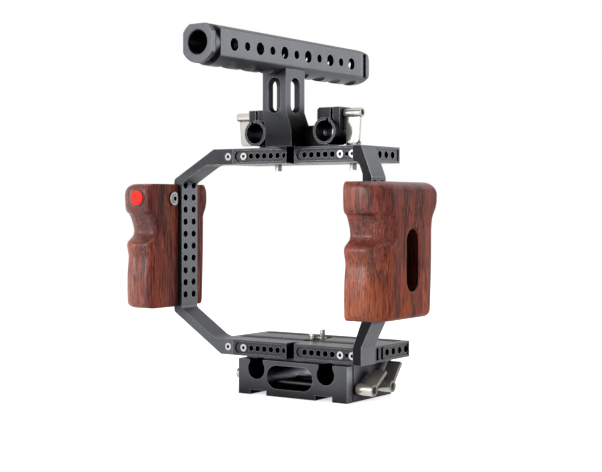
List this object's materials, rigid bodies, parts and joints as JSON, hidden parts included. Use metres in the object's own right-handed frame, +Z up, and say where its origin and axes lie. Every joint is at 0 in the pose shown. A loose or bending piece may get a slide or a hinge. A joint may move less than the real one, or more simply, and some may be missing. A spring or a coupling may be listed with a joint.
{
  "type": "camera cage",
  "caption": "Octagonal metal camera cage with tubular top handle, carved wooden side grips, rod clamps above and a rod base with clamp levers below.",
  "frame": {"origin": "middle of the rod base's flat bottom face, midway between the two rod bores", "axes": "+Z up, +Y from the front (lens side) to the back along the rods, +X to the right seen from the front"},
  "size_m": [0.2352, 0.194, 0.2564],
  "materials": {
    "black_aluminium": "black anodised, satin",
    "grey_aluminium": "dark grey anodised, satin",
    "bright_steel": "turned, nickel plated",
    "dark_steel": "black oxide",
    "polished_steel": "polished",
    "brass": "machined",
    "wood": "oiled rosewood",
    "red_plastic": "gloss red",
    "black_plastic": "moulded matt",
    "rubber": "matt"
  },
  "bodies": {
    "cage": {"left_bracket": "black_aluminium", "right_bracket": "black_aluminium", "top_plate": "black_aluminium", "bottom_plate": "black_aluminium", "upper_left_rail": "black_aluminium", "upper_right_rail": "black_aluminium", "lower_left_rail": "black_aluminium", "lower_right_rail": "black_aluminium", "upper_rail_screws": "bright_steel", "lower_rail_screws": "bright_steel", "front_pad_strip": "rubber", "rear_pad_strip": "rubber", "left_grip": "wood", "right_grip": "wood", "grip_screws": "dark_steel", "grip_inserts": "brass", "button_bezel": "black_plastic", "record_switch": "black_plastic", "remote_jack": "bright_steel", "jack_nut": "bright_steel", "handle_tube": "grey_aluminium", "handle_front_ring": "grey_aluminium", "handle_end_cap": "grey_aluminium", "handle_screws": "dark_steel", "handle_post": "grey_aluminium", "post_screws": "dark_steel", "left_rod_clamp": "black_aluminium", "right_rod_clamp": "black_aluminium", "clamp_foot_screws": "dark_steel", "base_block": "black_aluminium", "base_spacer": "black_plastic", "base_screws": "dark_steel", "front_bolt_nut": "bright_steel", "rear_bolt_nut": "bright_steel", "side_screw": "bright_steel", "locating_pin": "bright_steel"},
    "left_clamp_lever_set": {"left_clamp_lever": "polished_steel", "left_clamp_bolt": "bright_steel"},
    "right_clamp_lever_set": {"right_clamp_lever": "polished_steel", "right_clamp_bolt": "bright_steel"},
    "front_base_lever_set": {"front_base_lever": "polished_steel", "front_base_bolt": "bright_steel"},
    "rear_base_lever_set": {"rear_base_lever": "polished_steel", "rear_base_bolt": "bright_steel"},
    "button": {"record_button": "red_plastic"},
    "camera_fixing_screw": {"camera_screw": "bright_steel"},
    "left_hold_down": {"left_hold_down_screw": "bright_steel"},
    "right_hold_down": {"right_hold_down_screw": "bright_steel"}
  },
  "joints": [
    {"name": "left_clamp_lever_turn", "type": "hinge", "parent": "cage", "child": "left_clamp_lever_set", "pos_m": [-0.047, -0.019, 0.2025], "axis": [1, 0, 0], "range_deg": [-120, 0]},
    {"name": "right_clamp_lever_turn", "type": "hinge", "parent": "cage", "child": "right_clamp_lever_set", "pos_m": [0.047, -0.019, 0.2025], "axis": [1, 0, 0], "range_deg": [-120, 0]},
    {"name": "front_base_lever_turn", "type": "hinge", "parent": "cage", "child": "front_base_lever_set", "pos_m": [0.056, -0.017, 0.00895], "axis": [1, 0, 0], "range_deg": [-90, 22]},
    {"name": "rear_base_lever_turn", "type": "hinge", "parent": "cage", "child": "rear_base_lever_set", "pos_m": [0.056, 0.008, 0.00895], "axis": [1, 0, 0], "range_deg": [-110, 6]},
    {"name": "record_button_press", "type": "slide", "parent": "cage", "child": "button", "axis": [0, 1, 0], "range_m": [0, 0.0018], "stiffness_N_per_m": 600, "springref_m": -0.0008},
    {"name": "camera_screw_turn", "type": "hinge", "parent": "cage", "child": "camera_fixing_screw", "pos_m": [0, -0.001, 0.0391], "axis": [0, 0, 1], "continuous": true},
    {"name": "left_hold_down_turn", "type": "hinge", "parent": "cage", "child": "left_hold_down", "pos_m": [-0.033, 0.002, 0.1791], "axis": [0, 0, 1], "continuous": true},
    {"name": "right_hold_down_turn", "type": "hinge", "parent": "cage", "child": "right_hold_down", "pos_m": [0.033, 0.002, 0.1791], "axis": [0, 0, 1], "continuous": true}
  ]
}
